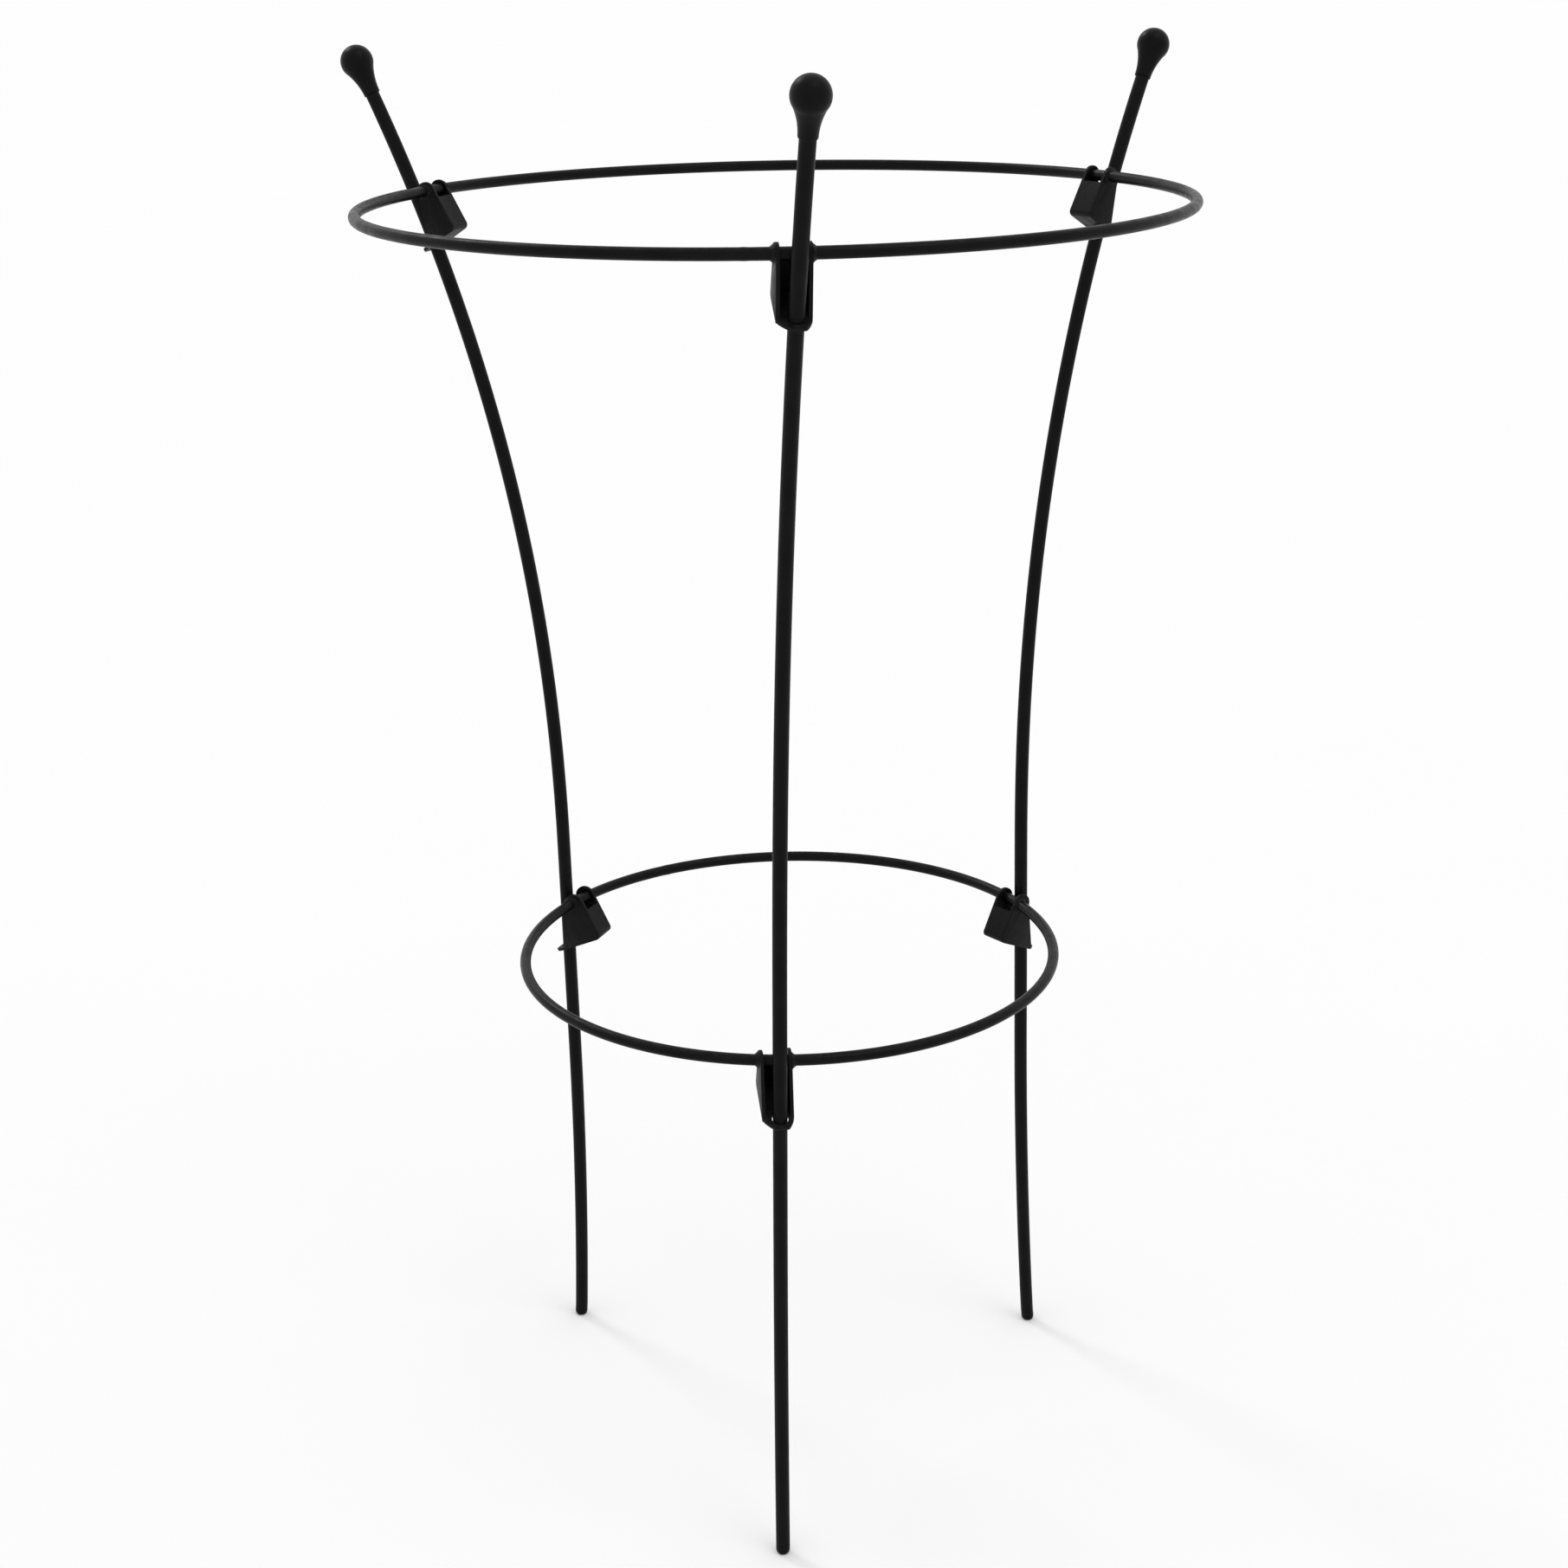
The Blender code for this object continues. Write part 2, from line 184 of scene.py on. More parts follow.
# What the coats share. A cloud's scale is per metre, a span is the part of its values that is stretched out,
# and a tone is a multiple of the coat's own colour.
COAT_SHINE = 0.08
CLOUD_SPAN = (0.3, 0.7)
PATCH_SCALE = 70.0
DEEP_TONE = 0.72
PALE_TONE = 1.25
SPECK_SCALE = 2600.0
SPECK_SPAN = (0.66, 0.74)
SPECK_TONE = 2.6
SPECK_COVER = 0.55
DUST_SCALE = 260.0
DUST_SPAN = (0.38, 0.72)
DUST_THINNEST = 0.1
DUST_FACING = (0.35, 1.0)
DUST_COLOUR = (0.105, 0.1, 0.092)
DUST_ROUGHNESS = 0.35
WEAR_SCALE = 420.0
WEAR_SPAN = (0.35, 0.65)
WEAR_THINNEST = 0.2
WEAR_EDGES = (0.56, 0.68)
WORN_COLOUR = (0.075, 0.075, 0.077)
GLOSS_SCALE = 120.0
SMOOTHER = 0.05
ROUGHER = 0.06
PEEL_SCALE = 260.0
FINE_PEEL_SCALE = 900.0
FINE_PEEL_DEPTH = 0.55

# Stage
FLOOR_REACH = 120.0
FLOOR_CELLS = 8
PAPER_ROUGHNESS = 0.95
PAPER_GRAIN_SCALE = 3.0
PAPER_TONES = (0.985, 0.995)
WORLD_LIGHT = 0.8
WORLD_SEEN = 1.0
LAMPS = {
    "back_softbox": {"energy": 0.5, "spread_deg": 14.0, "tilt_deg": 50.0, "turn_deg": 215.0},
    "front_softbox": {"energy": 0.35, "spread_deg": 30.0, "tilt_deg": 30.0, "turn_deg": 40.0},
}

# The photograph's camera: its place in metres from where the cage's axis meets the ground
CAMERA_PLACE = (-0.1904, -1.37424, 0.8772)
CAMERA_YAW_DEG = -7.83557
CAMERA_PITCH_DEG = -18.81206
CAMERA_ROLL_DEG = -1.08299
LENS_IN_MM = 57.633
SENSOR_IN_MM = 36.0
NEAREST_SEEN = 0.05
FARTHEST_SEEN = 200.0


def cage_axis():
    """Where the cage's own axis stands in the frame, from the upper hoop."""
    low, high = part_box("upper_hoop")
    return Matrix.Translation(((low[0] + high[0]) / 2, (low[1] + high[1]) / 2, 0.0))


AXIS = cage_axis()


# Lines of the legs and hoops
def leg_side(height):
    """Sideways distance of the leg's centre line from the cage's axis."""
    return LEG_SIDE_OFFSET + LEG_LEAN * (height - UPPER_HOOP_HEIGHT)


def bracket_side(level):
    """Sideways distance of the bracket's middle plane from the cage's axis."""
    return leg_side(HOOP_HEIGHT[level]) + BRACKET_SIDE_SHIFT


def hoop_reach(level):
    """Distance of the hoop's centre line out from the cage's axis, along the middle plane of its bracket."""
    return math.sqrt(HOOP_RADIUS[level] ** 2 - bracket_side(level) ** 2)


def hoop_standoff(level):
    """Distance from the hoop's centre line out to the leg's centre line."""
    return HOOP_ROD / 2 + ROD_GAP[level] + LEG_ROD / 2


def leg_reach(height):
    """Distance of the leg's centre line out from the cage's axis, along the leg's own plane."""
    waist = hoop_reach("lower") + hoop_standoff("lower")
    widest = hoop_reach("upper") + hoop_standoff("upper")
    flare = max(0.0, (height - FLARE_START) / (UPPER_HOOP_HEIGHT - FLARE_START))
    splay = max(0.0, (SPLAY_END - height) / SPLAY_END)
    return waist + (widest - waist) * flare ** FLARE_POWER + FOOT_SPLAY * splay ** 2


def leg_point(height):
    return Vector((leg_reach(height), leg_side(height), height))


def leg_turn(index):
    """Turn from leg axes (x outward, y sideways, z up) to the frame."""
    return AXIS @ Matrix.Rotation(math.radians(FIRST_LEG_DEG + 360.0 / LEG_COUNT * index), 4, "Z")


def leg_top():
    """Ball centre and the leg's direction there."""
    centre = leg_point(BALL_HEIGHT)
    return centre, (centre - leg_point(BALL_HEIGHT - BALL / 2)).normalized()


# Mesh tools
def finished_mesh(name, bm):
    mesh = bpy.data.meshes.new(name)
    bm.to_mesh(mesh)
    bm.free()
    return mesh


def new_object(name, data):
    item = bpy.data.objects.new(name, data)
    bpy.context.scene.collection.objects.link(item)
    return item


def new_piece(name, bm, part, body, node):
    """Makes the piece in its coat, in place of its CAD node and on its CAD body."""
    bmesh.ops.recalc_face_normals(bm, faces=bm.faces)
    mesh = finished_mesh(name, bm)
    mesh.shade_smooth()
    mesh.set_sharp_from_angle(angle=math.radians(SMOOTH_DEG))
    mesh.materials.append(COAT_OF[part])
    piece = new_object(name, mesh)
    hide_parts(node)
    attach(piece, body)
    return piece


def ring(bm, centre, across, up, radius, sides):
    """Points round a circle, as a closed row."""
    row = []
    for step in range(sides):
        turn = 2 * math.pi * step / sides
        row.append(bm.verts.new(centre + radius * (math.cos(turn) * across + math.sin(turn) * up)))
    return row


def join_rings(bm, first, second):
    for index in range(len(first)):
        bm.faces.new((first[index - 1], first[index], second[index], second[index - 1]))


def tube(points, radii, sides, closed=False):
    """Round rod along a line of points, with its own radius at each."""
    bm = bmesh.new()
    count = len(points)
    across = Vector((0, 0, 1)).cross(points[1] - points[0])
    if across.length < NO_LENGTH:
        across = Vector((1, 0, 0))
    rings = []
    for index, point in enumerate(points):
        before = points[index - 1] if closed or index else point
        after = points[(index + 1) % count] if closed or index < count - 1 else point
        along = (after - before).normalized()
        across = (across - along * across.dot(along)).normalized()
        rings.append(ring(bm, point, across, along.cross(across), radii[index], sides))
    for first, second in zip(rings, rings[1:]):
        join_rings(bm, first, second)
    if closed:
        join_rings(bm, rings[-1], rings[0])
    else:
        bm.faces.new(rings[0])
        bm.faces.new(rings[-1])
    return bm


def turned(profile):
    """Spins an outline of (radius, height) round the upright axis."""
    bm = bmesh.new()
    verts = [bm.verts.new((radius, 0.0, height)) for radius, height in profile]
    edges = [bm.edges.new(pair) for pair in zip(verts, verts[1:])]
    full = 2 * math.pi
    bmesh.ops.spin(bm, geom=verts + edges, cent=(0, 0, 0), axis=(0, 0, 1), angle=full, steps=TURNED_STEPS)
    bmesh.ops.remove_doubles(bm, verts=bm.verts, dist=SAME_PLACE)
    return bm


def cut(item, tool):
    modifier = item.modifiers.new("cut", "BOOLEAN")
    modifier.operation = "DIFFERENCE"
    modifier.solver = "EXACT"
    modifier.object = tool


def baked(item):
    """The object's mesh with its modifiers applied. The object is removed."""
    graph = bpy.context.evaluated_depsgraph_get()
    mesh = bpy.data.meshes.new_from_object(item.evaluated_get(graph))
    bpy.data.objects.remove(item, do_unlink=True)
    return mesh


# Materials
class Shading:
    """One material's shader nodes, with short ways to add and link them."""

    def __init__(self, material):
        material.use_nodes = True
        self.tree = material.node_tree
        self.shader = self.tree.nodes["Principled BSDF"]
        self.place = self.add("ShaderNodeTexCoord").outputs["Object"]

    def add(self, kind, **settings):
        node = self.tree.nodes.new(kind)
        for key, value in settings.items():
            setattr(node, key, value)
        return node

    def feed(self, socket, value):
        """Gives a socket a number, a colour or another node's output."""
        if isinstance(value, bpy.types.NodeSocket):
            self.tree.links.new(value, socket)
        elif isinstance(value, tuple):
            socket.default_value = (*value, 1.0)
        else:
            socket.default_value = value

    def cloud(self, scale, detail=2.0, rough=0.5):
        node = self.add("ShaderNodeTexNoise")
        keys = ("Vector", "Scale", "Detail", "Roughness")
        for key, value in zip(keys, (self.place, scale, detail, rough)):
            self.feed(node.inputs[key], value)
        return node.outputs["Fac"]

    def remap(self, source, span, low, high, kind="SMOOTHSTEP"):
        """Spreads the span of a value over low to high."""
        node = self.add("ShaderNodeMapRange", interpolation_type=kind)
        keys = ("Value", "From Min", "From Max", "To Min", "To Max")
        for key, value in zip(keys, (source, *span, low, high)):
            self.feed(node.inputs[key], value)
        return node.outputs["Result"]

    def combine(self, operation, first, second):
        node = self.add("ShaderNodeMath", operation=operation)
        for socket, value in zip(node.inputs, (first, second)):
            self.feed(socket, value)
        return node.outputs["Value"]

    def blend(self, factor, first, second):
        node = self.add("ShaderNodeMix", data_type="RGBA")
        for key, value in (("Factor", factor), ("A", first), ("B", second)):
            self.feed(node.inputs[key], value)
        return node.outputs["Result"]


def toned(colour, share):
    return tuple(share * part for part in colour)


def dust_cover(look, surface, dust):
    """Dust that settles in patches on what faces up."""
    parts = look.add("ShaderNodeSeparateXYZ")
    look.feed(parts.inputs["Vector"], surface.outputs["Normal"])
    facing = look.remap(parts.outputs["Z"], DUST_FACING, 0.0, dust)
    patches = look.remap(look.cloud(DUST_SCALE, detail=5.0, rough=0.65), DUST_SPAN, DUST_THINNEST, 1.0)
    return look.combine("MULTIPLY", facing, patches)


def worn_cover(look, surface, wear):
    """Thin coat on the outer edges, in patches."""
    edge = look.remap(surface.outputs["Pointiness"], WEAR_EDGES, 0.0, wear)
    patches = look.remap(look.cloud(WEAR_SCALE, detail=3.0), WEAR_SPAN, WEAR_THINNEST, 1.0)
    return look.combine("MULTIPLY", edge, patches)


def coat_tone(look, colour, dusty, worn):
    """Black of uneven depth over centimetres, with fine specks, under the dust and the worn edges."""
    patches = look.remap(look.cloud(PATCH_SCALE, detail=4.0), CLOUD_SPAN, 0.0, 1.0)
    tone = look.blend(patches, toned(colour, DEEP_TONE), toned(colour, PALE_TONE))
    specks = look.remap(look.cloud(SPECK_SCALE, detail=1.0), SPECK_SPAN, 0.0, SPECK_COVER)
    tone = look.blend(specks, tone, toned(colour, SPECK_TONE))
    tone = look.blend(dusty, tone, DUST_COLOUR)
    return look.blend(worn, tone, WORN_COLOUR)


def coat_gloss(look, roughness, dusty):
    """Roughness that wanders a little, and is higher under the dust."""
    cloud = look.cloud(GLOSS_SCALE, detail=3.0)
    gloss = look.remap(cloud, CLOUD_SPAN, roughness - SMOOTHER, roughness + ROUGHER)
    return look.combine("ADD", gloss, look.combine("MULTIPLY", dusty, DUST_ROUGHNESS))


def orange_peel(look, depth):
    """Fine waves on top of wider ones."""
    fine = look.combine("MULTIPLY", look.cloud(FINE_PEEL_SCALE), FINE_PEEL_DEPTH)
    bump = look.add("ShaderNodeBump")
    look.feed(bump.inputs["Strength"], 1.0)
    look.feed(bump.inputs["Distance"], depth)
    look.feed(bump.inputs["Height"], look.combine("ADD", fine, look.cloud(PEEL_SCALE)))
    return bump.outputs["Normal"]


def coat_material(name, colour, roughness, peel, dust, wear):
    """Black powder coat: orange peel, uneven gloss, a little dust on top and paler worn edges."""
    material = bpy.data.materials.new(name)
    look = Shading(material)
    surface = look.add("ShaderNodeNewGeometry")
    dusty = dust_cover(look, surface, dust)
    worn = worn_cover(look, surface, wear)
    inputs = look.shader.inputs
    look.feed(inputs["Metallic"], 0.0)
    look.feed(inputs["Specular IOR Level"], COAT_SHINE)
    look.feed(inputs["Base Color"], coat_tone(look, colour, dusty, worn))
    look.feed(inputs["Roughness"], coat_gloss(look, roughness, dusty))
    look.feed(inputs["Normal"], orange_peel(look, peel))
    return material


COAT_OF = {part: coat_material(part + "_powder_coat", **coat) for part, coat in COATS.items()}


# Legs
def make_leg(index):
    """One bent rod with a rounded foot."""
    foot = leg_point(0.0)
    points, radii = [], []
    for share in FOOT_STATIONS:
        points.append(Vector((foot.x, foot.y, share * FOOT_TIP)))
        radii.append(LEG_ROD / 2 * (FOOT_FLAT + (1 - FOOT_FLAT) * math.sqrt(1 - (1 - share) ** 2)))
    centre, direction = leg_top()
    end = centre - direction * (BORE_TOP + FIT_GAP)
    stretch = (end.z - FOOT_TIP) / (LEG_STEPS + 1)
    for step in range(1, LEG_STEPS + 1):
        points.append(leg_point(FOOT_TIP + stretch * step))
        radii.append(LEG_ROD / 2)
    points.append(end)
    radii.append(LEG_ROD / 2)
    turn = leg_turn(index)
    name = "leg_" + LEG_NAMES[index]
    bm = tube([turn @ point for point in points], radii, ROD_SIDES)
    return new_piece(name + "_rod", bm, "leg", "cage", name)


# Hoops
def seam_swell(away):
    """What the butt weld adds to the rod's radius, at a distance along the rod."""
    bead = SEAM_BEAD * math.exp(-(away / SEAM_BEAD_REACH) ** 2)
    dip = SEAM_DIP * math.exp(-(away / SEAM_DIP_REACH) ** 2)
    return bead - dip


def make_hoop(level):
    """One rod bent into a ring, with its ends butt-welded and ground."""
    radius = HOOP_RADIUS[level]
    seam = math.radians(SEAM_DEG[level])
    turns = [2 * math.pi * step / HOOP_STEPS[level] for step in range(HOOP_STEPS[level])]
    turns += [seam + station * MM / radius for station in SEAM_STATIONS]
    points, radii = [], []
    for turn in sorted(set(turns)):
        points.append(AXIS @ Vector((radius * math.cos(turn), radius * math.sin(turn), HOOP_HEIGHT[level])))
        radii.append(HOOP_ROD / 2 + seam_swell((turn - seam) * radius))
    bm = tube(points, radii, ROD_SIDES, closed=True)
    name = level + "_hoop"
    return new_piece(name + "_ring", bm, "hoop", BODY[level], name)


# Finials
def finial_profile():
    """Outer and bore outline of the finial, as (radius, height from the ball's centre)."""
    ball = BALL / 2 - BALL_INSET
    bore = LEG_ROD / 2 + FIT_GAP
    outline = [(0.0, ball)]
    blend = math.radians(NECK_START_DEG)
    for step in range(1, BALL_STEPS + 1):
        angle = math.radians(90) + (blend - math.radians(90)) * step / BALL_STEPS
        outline.append((ball * math.cos(angle), ball * math.sin(angle)))
    start_radius, start = outline[-1]
    rim = bore + NECK_WALL
    for step in range(1, NECK_STEPS + 1):
        share = step / NECK_STEPS
        height = start + (-NECK_LENGTH + RIM_ROUND - start) * share
        outline.append((rim + (start_radius - rim) * (1 - share) ** 2, height))
    outline.append((rim - RIM_STEP, -NECK_LENGTH + RIM_STEP))
    outline.append((rim - RIM_ROUND, -NECK_LENGTH))
    outline.append((bore + BORE_EDGE, -NECK_LENGTH))
    outline.append((bore, -NECK_LENGTH + BORE_EDGE))
    outline.append((bore, -BORE_TOP))
    outline.append((0.0, -BORE_TOP))
    return outline


def make_finial(index):
    centre, direction = leg_top()
    upright = Vector((0, 0, 1)).rotation_difference(direction).to_matrix().to_4x4()
    bm = turned(finial_profile())
    bmesh.ops.transform(bm, verts=bm.verts, matrix=leg_turn(index) @ Matrix.Translation(centre) @ upright)
    name = "finial_" + LEG_NAMES[index]
    return new_piece(name + "_ball", bm, "finial", "cage", name)


# Brackets
def bracket_origin(level):
    """The bracket's own origin in leg axes, in its middle plane and at the hoop's height."""
    return Vector((leg_reach(HOOP_HEIGHT[level]), bracket_side(level), HOOP_HEIGHT[level]))


def leg_drift(level, drop):
    """How far inward of its place at the hoop the leg is, at a drop below the hoop."""
    height = HOOP_HEIGHT[level]
    return leg_reach(height) - leg_reach(height - drop)


def hoop_slope(level):
    """How far the hoop moves in or out of line per length across the bracket."""
    return -bracket_side(level) / hoop_reach(level)


def rounded_corner(before, corner, after, radius, steps):
    """Points of an arc that rounds a corner of the outline."""
    back = (before - corner).normalized()
    ahead = (after - corner).normalized()
    half = back.angle(ahead) / 2
    length = radius / math.tan(half)
    centre = corner + (back + ahead).normalized() * (radius / math.sin(half))
    first = corner + back * length - centre
    last = corner + ahead * length - centre
    sweep = first.angle_signed(last)
    points = []
    for step in range(steps + 1):
        spoke = first.copy()
        spoke.rotate(Matrix.Rotation(-sweep * step / steps, 2))
        points.append(centre + spoke)
    return points


def meeting(first, first_run, second, second_run):
    """Where two lines in the bracket's middle plane cross."""
    across = first_run.x * second_run.y - first_run.y * second_run.x
    apart = second - first
    return first + first_run * ((apart.x * second_run.y - apart.y * second_run.x) / across)


def eye_arc(eye, radius, last):
    """Points over the top of the eye, from the leg's side to the start of the web."""
    first = math.radians(EYE_START_DEG)
    angles = [first + (last - first) * step / EYE_STEPS for step in range(EYE_STEPS + 1)]
    return [eye + radius * Vector((math.cos(angle), math.sin(angle))) for angle in angles]


def bracket_lines(level):
    """Side view of the bracket, x inward from the leg's centre and y up from the hoop's centre.

    Gives the eye's points, the points round the outside of the web and floor, and those of the inner bend.
    """
    eye = Vector((hoop_standoff(level), 0.0))
    eye_bore = HOOP_ROD / 2 + EYE_GAP
    slant = BRACKET_WIDTH / 2 * abs(hoop_slope(level))
    eye_radius = eye_bore + EYE_WALL + slant
    apex = eye + Vector((APEX_REACH, -APEX_DROP))
    tip = Vector((leg_drift(level, FLOOR_DROP) - LEG_ROD / 2 - FLOOR_LIP, -FLOOR_DROP - SHEET))
    fall = math.atan2(apex.y - eye.y, apex.x - eye.x)
    lean = fall - math.asin(eye_radius / (apex - eye).length)
    around = eye_arc(eye, eye_radius, lean + math.radians(90))
    web = Vector((math.cos(lean), math.sin(lean)))
    floor = (apex - tip).normalized()
    web_top = around[-1] + web * (eye_bore + slant + WEB_STEP)
    floor_side = tip + Vector((-floor.y, floor.x)) * SHEET
    web_side = web_top + Vector((web.y, -web.x)) * SHEET
    cheek_reach = leg_drift(level, FLOOR_DROP - CHEEK_FOOT_RISE)
    cheek_foot = floor_side + floor * ((cheek_reach - floor_side.x) / floor.x)
    under_foot = cheek_foot - Vector((-floor.y, floor.x)) * SHEET
    outside = [web_top] + rounded_corner(web_top, apex, tip, APEX_ROUND, APEX_STEPS)
    outside += [under_foot.lerp(tip, share) for share in TAB_STATIONS]
    outside += [cheek_foot.lerp(floor_side, share) for share in reversed(TAB_STATIONS)]
    inner_corner = meeting(floor_side, floor, web_side, web)
    inside = rounded_corner(cheek_foot, inner_corner, web_side, APEX_ROUND - SHEET, INNER_BEND_STEPS)
    return around, outside, inside + [web_side]


def shape_tab(fold, side):
    """Narrows the floor beyond the feet of the cheeks to a rounded tab, centred on the leg at its end."""
    for share, under, over in zip(TAB_STATIONS, fold[-2 * len(TAB_STATIONS):], reversed(fold)):
        half = TAB_END / 2 + (BRACKET_WIDTH - TAB_END) / 2 * (1 - share ** TAB_EASE) ** TAB_ROUNDNESS
        under.co.y = over.co.y = half * side / (BRACKET_WIDTH / 2) - BRACKET_SIDE_SHIFT * share


def close_tab_side(bm, fold):
    """Faces down the side of the floor's tab, between its underside and its top."""
    tab = len(TAB_STATIONS)
    for index in range(tab - 1):
        under, under_next = fold[-2 * tab + index], fold[-2 * tab + index + 1]
        bm.faces.new((under, under_next, fold[-2 - index], fold[-1 - index]))


def folded_sheet(level):
    """Two cheeks of the whole side view, with the web and the floor between them, folded from one sheet."""
    around, outside, inside = bracket_lines(level)
    bm = bmesh.new()
    sides = (-BRACKET_WIDTH / 2, -BRACKET_INSIDE / 2, BRACKET_INSIDE / 2, BRACKET_WIDTH / 2)
    eyes = [[bm.verts.new((-point.x, side, point.y)) for point in around] for side in sides]
    folds = [[bm.verts.new((-point.x, side, point.y)) for point in outside] for side in sides]
    corners = {row: [bm.verts.new((-point.x, sides[row], point.y)) for point in inside] for row in (1, 2)}
    for side, fold in zip(sides, folds):
        shape_tab(fold, side)
    cheeks = [eye + fold for eye, fold in zip(eyes, folds)]
    bends = []
    for outer, inner in ((0, 1), (3, 2)):
        bend_line = folds[outer][:1 - 2 * len(TAB_STATIONS)]
        bm.faces.new(eyes[outer] + bend_line + folds[outer][-1:])
        close_tab_side(bm, folds[outer])
        join_rings(bm, cheeks[outer], cheeks[inner])
        bm.faces.new(eyes[inner] + [folds[inner][0]] + list(reversed(corners[inner])) + [folds[inner][-1]])
        bends += [edge for edge in bm.edges if edge.verts[0] in bend_line and edge.verts[1] in bend_line]
    join_rings(bm, folds[1] + corners[1], folds[2] + corners[2])
    bmesh.ops.recalc_face_normals(bm, faces=bm.faces)
    bmesh.ops.bevel(
        bm, geom=bends, offset=SHEET_BEND, segments=SHEET_BEND_STEPS, profile=BEND_FULLNESS, affect="EDGES",
        clamp_overlap=True
    )
    return finished_mesh(level + "_sheet", bm)


def straight_cutter(name, ends, diameter):
    """Round cutter along a straight line."""
    bm = tube(ends, [diameter / 2] * 2, BORE_SIDES)
    bmesh.ops.recalc_face_normals(bm, faces=bm.faces)
    return new_object(name, finished_mesh(name, bm))


def hoop_cutter(level):
    """Cutter for the hoop through both cheeks, in the bracket's own axes."""
    along = Vector((hoop_slope(level), 1.0, 0.0)).normalized() * (BRACKET_WIDTH / 2 + CUT_SPARE)
    middle = Vector((-hoop_standoff(level), 0.0, 0.0))
    return straight_cutter("eye_bore", [middle - along, middle + along], HOOP_ROD + 2 * EYE_GAP)


def leg_cutter(level):
    """Cutter for the leg through the floor, in the bracket's own axes."""
    height = HOOP_HEIGHT[level]
    low = leg_point(height - FLOOR_DROP - SHEET - CUT_SPARE) - bracket_origin(level)
    high = leg_point(height - FLOOR_DROP + CUT_SPARE) - bracket_origin(level)
    return straight_cutter("leg_bore", [low, high], LEG_ROD + 2 * LEG_GAP[level])


def is_bend_end(level, place):
    """Whether a place is where the bends run out at the web's top."""
    web_top = bracket_lines(level)[1][0]
    beside = abs(place.y) > BRACKET_INSIDE / 2 - CHEEK_TOLERANCE
    return beside and math.hypot(-place.x - web_top.x, place.z - web_top.y) < BEND_END_REACH


def soften_edges(level, mesh):
    """Rounds the cut edges of the sheet, as its coat does, but not where the bends run out."""
    bm = bmesh.new()
    bm.from_mesh(mesh)
    bmesh.ops.dissolve_degenerate(bm, dist=SLIVER, edges=bm.edges)
    sharp = []
    for edge in bm.edges:
        if len(edge.link_faces) != 2 or edge.calc_face_angle() < math.radians(SHARP_DEG):
            continue
        if not is_bend_end(level, (edge.verts[0].co + edge.verts[1].co) / 2):
            sharp.append(edge)
    bmesh.ops.bevel(
        bm, geom=sharp, offset=EDGE_SOFTNESS, segments=EDGE_STEPS, profile=EDGE_FULLNESS, affect="EDGES",
        clamp_overlap=False
    )
    bm.to_mesh(mesh)
    bm.free()


def bracket_body(level):
    """The folded sheet with its bores and its softened edges, in the bracket's own axes."""
    sheet = new_object(level + "_sheet", folded_sheet(level))
    tools = (hoop_cutter(level), leg_cutter(level))
    for tool in tools:
        cut(sheet, tool)
    bpy.context.view_layer.update()
    mesh = baked(sheet)
    for tool in tools:
        bpy.data.objects.remove(tool, do_unlink=True)
    soften_edges(level, mesh)
    return mesh


def weld_swell(turn, seed):
    """Uneven size of the bead round the hoop: ripples, and lumps that wander."""
    drift = WELD_RIPPLE_DRIFT * noise.noise(Vector((seed, turn, WELD_RIPPLE_ROW)))
    ripple = 0.5 + 0.5 * math.cos(turn * WELD_RIPPLES + drift)
    lump = noise.noise(Vector((math.cos(turn) * WELD_LUMPS, math.sin(turn) * WELD_LUMPS, seed)))
    return 1.0 + WELD_RIPPLE_DEPTH * ripple + WELD_LUMP_DEPTH * lump


def weld_bead(bm, level, side, seed):
    """Fillet weld round the hoop where it leaves the cheek, lying on the slanted cheek."""
    slope = hoop_slope(level)
    along = Vector((slope, 1.0, 0.0)).normalized()
    up = Vector((0, 0, 1))
    across = up.cross(along).normalized()
    face = Vector((-hoop_standoff(level) + slope * side * BRACKET_WIDTH / 2, side * BRACKET_WIDTH / 2, 0.0))
    rows = []
    for step in range(WELD_STEPS):
        turn = 2 * math.pi * step / WELD_STEPS
        spoke = math.cos(turn) * across + math.sin(turn) * up
        swell = weld_swell(turn, seed)
        row = []
        for out, rise in WELD_SECTION:
            if out > 0 and rise > 0:
                out, rise = out * swell, rise * swell
            radius = HOOP_ROD / 2 + rise * MM
            place = face + spoke * radius + along * side * out * MM
            lift = spoke.y * radius / along.y
            row.append(bm.verts.new(place - along * lift))
        rows.append(row)
    for index in range(WELD_STEPS):
        join_rings(bm, rows[index - 1], rows[index])


def make_bracket(level, index, body):
    """One bracket: the folded sheet and its two weld beads."""
    bm = bmesh.new()
    bm.from_mesh(body)
    for side in (-1, 1):
        seed = WELD_SEED_PER_LEG * index + WELD_SEED_PER_SIDE * side + WELD_SEED[level]
        weld_bead(bm, level, side, seed)
    place = leg_turn(index) @ Matrix.Translation(bracket_origin(level))
    bmesh.ops.transform(bm, verts=bm.verts, matrix=place)
    name = level + "_bracket_" + LEG_NAMES[index]
    return new_piece(name + "_plate", bm, "bracket", BODY[level], name)


def make_cage():
    """All 14 pieces. The three brackets of a level share one shape."""
    for index in range(LEG_COUNT):
        make_leg(index)
        make_finial(index)
    for level in ("upper", "lower"):
        make_hoop(level)
    for level in ("upper", "lower"):
        body = bracket_body(level)
        for index in range(LEG_COUNT):
            make_bracket(level, index, body)
        bpy.data.meshes.remove(body)


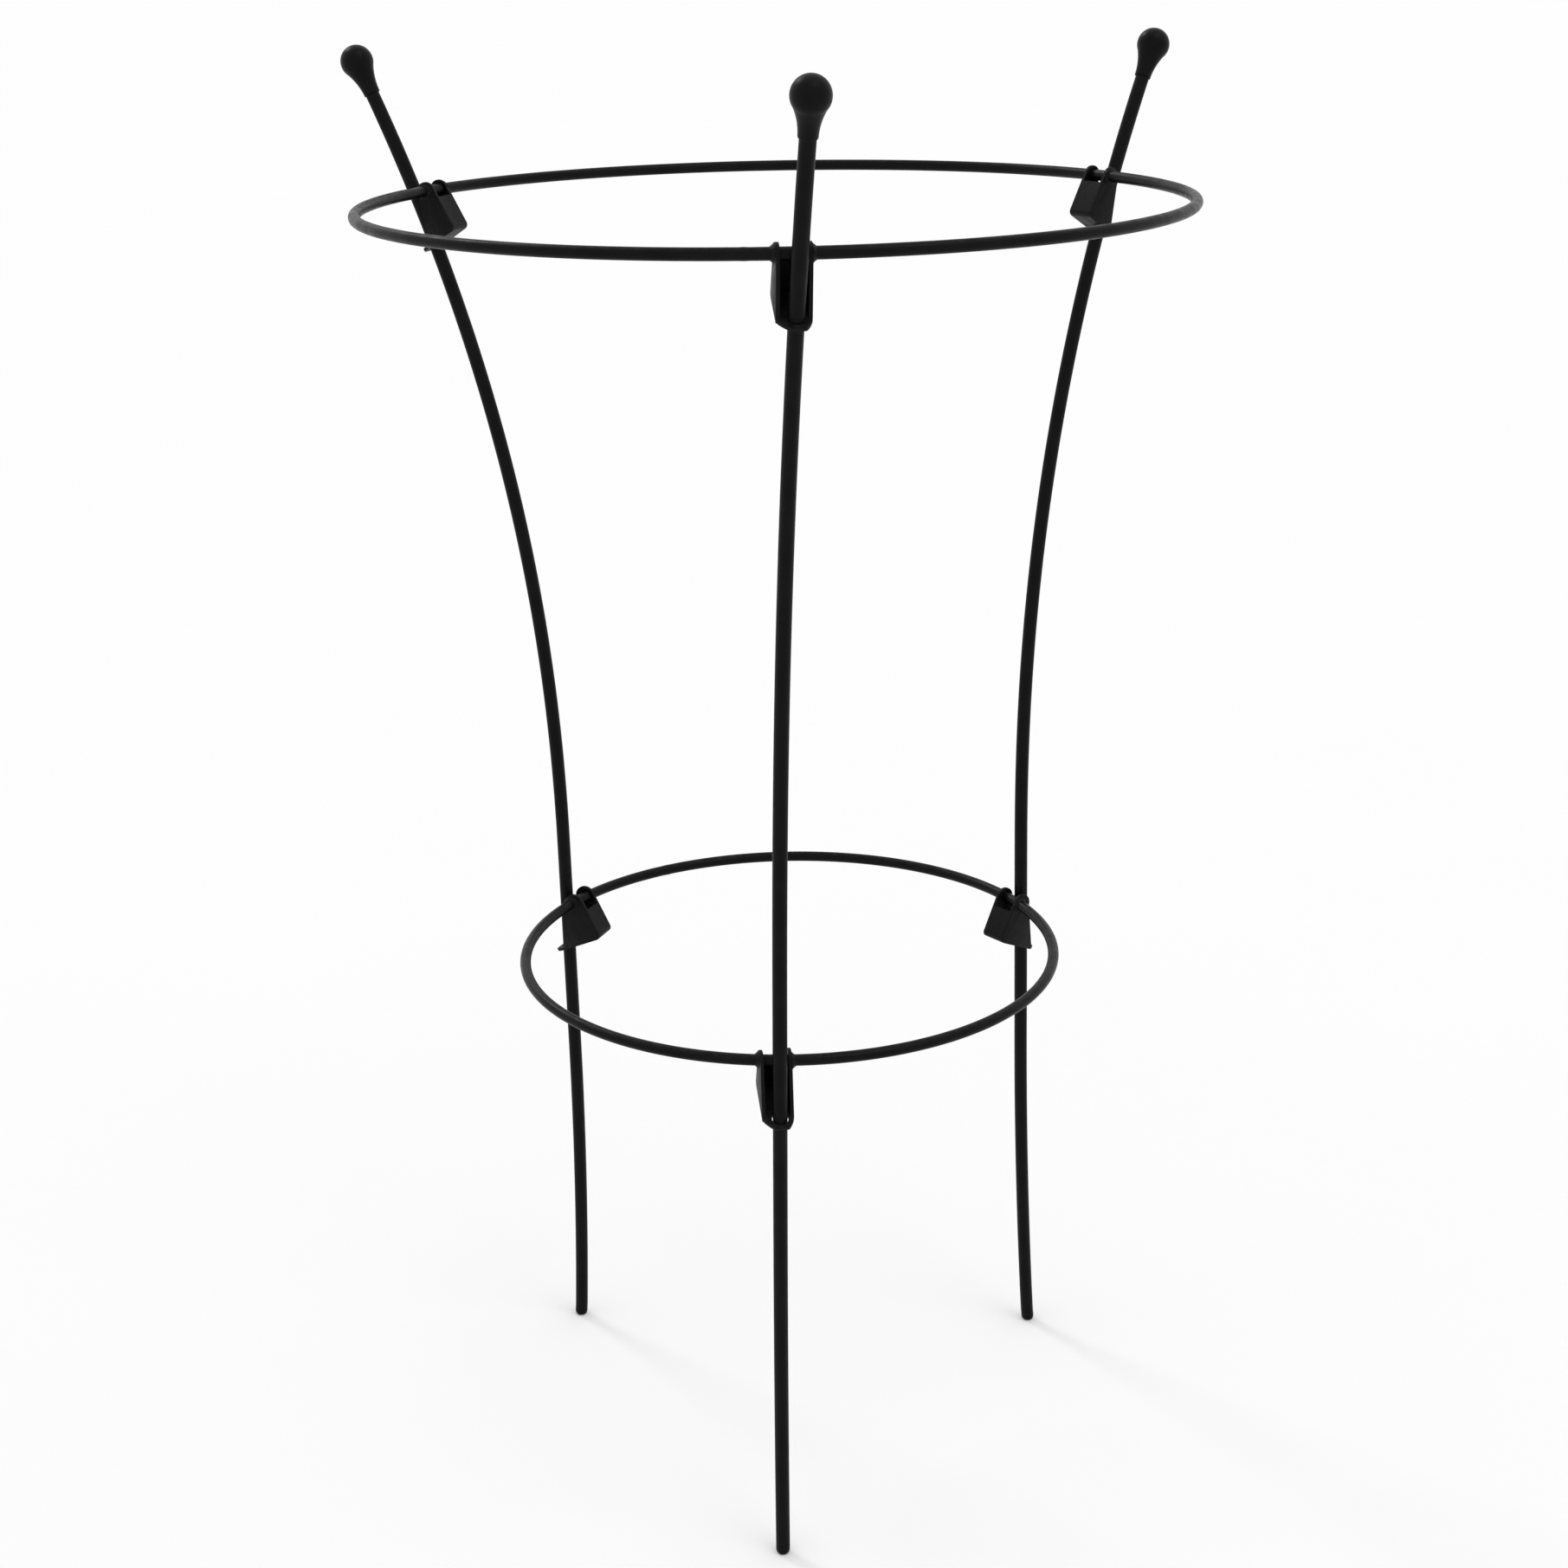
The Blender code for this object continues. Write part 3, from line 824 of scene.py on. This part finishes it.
# Stage
def make_floor():
    """A wide sheet of white paper with a barely seen grain."""
    bm = bmesh.new()
    bmesh.ops.create_grid(bm, x_segments=FLOOR_CELLS, y_segments=FLOOR_CELLS, size=FLOOR_REACH)
    floor = new_object("studio_floor", finished_mesh("studio_floor", bm))
    material = bpy.data.materials.new("studio_paper")
    look = Shading(material)
    inputs = look.shader.inputs
    look.feed(inputs["Roughness"], PAPER_ROUGHNESS)
    look.feed(inputs["Specular IOR Level"], 0.0)
    grain = look.cloud(PAPER_GRAIN_SCALE)
    look.feed(inputs["Base Color"], look.remap(grain, (0.0, 1.0), *PAPER_TONES, kind="LINEAR"))
    floor.data.materials.append(material)


def make_lamp(name, energy, spread_deg, tilt_deg, turn_deg):
    light = bpy.data.lights.new(name, "SUN")
    light.energy = energy
    light.angle = math.radians(spread_deg)
    lamp = new_object(name, light)
    lamp.rotation_euler = (math.radians(tilt_deg), 0.0, math.radians(turn_deg))


def make_world():
    """White to the camera and in reflections, and a little dimmer as the light on everything."""
    world = bpy.data.worlds.new("studio_world")
    bpy.context.scene.world = world
    world.use_nodes = True
    tree = world.node_tree
    background = tree.nodes["Background"]
    background.inputs["Color"].default_value = (1.0, 1.0, 1.0, 1.0)
    rays = tree.nodes.new("ShaderNodeLightPath")
    seen = rays.outputs["Is Camera Ray"]
    for kind in ("Is Glossy Ray", "Is Transmission Ray"):
        either = tree.nodes.new("ShaderNodeMath")
        either.operation = "MAXIMUM"
        tree.links.new(seen, either.inputs[0])
        tree.links.new(rays.outputs[kind], either.inputs[1])
        seen = either.outputs["Value"]
    strength = tree.nodes.new("ShaderNodeMapRange")
    strength.inputs["To Min"].default_value = WORLD_LIGHT
    strength.inputs["To Max"].default_value = WORLD_SEEN
    tree.links.new(seen, strength.inputs["Value"])
    tree.links.new(strength.outputs["Result"], background.inputs["Strength"])


def make_camera():
    data = bpy.data.cameras.new("photo_camera")
    data.sensor_fit = "AUTO"
    data.sensor_width = SENSOR_IN_MM
    data.sensor_height = SENSOR_IN_MM
    data.lens = LENS_IN_MM
    data.clip_start = NEAREST_SEEN
    data.clip_end = FARTHEST_SEEN
    camera = new_object("photo_camera", data)
    yaw = Matrix.Rotation(math.radians(CAMERA_YAW_DEG), 4, "Z")
    pitch = Matrix.Rotation(math.radians(90.0 + CAMERA_PITCH_DEG), 4, "X")
    roll = Matrix.Rotation(math.radians(CAMERA_ROLL_DEG), 4, "Z")
    camera.matrix_world = AXIS @ Matrix.Translation(CAMERA_PLACE) @ yaw @ pitch @ roll
    bpy.context.scene.camera = camera


make_cage()
make_floor()
make_world()
for lamp_name, setting in LAMPS.items():
    make_lamp(lamp_name, **setting)
make_camera()
bpy.context.scene.view_settings.view_transform = "Standard"
bpy.context.view_layer.update()
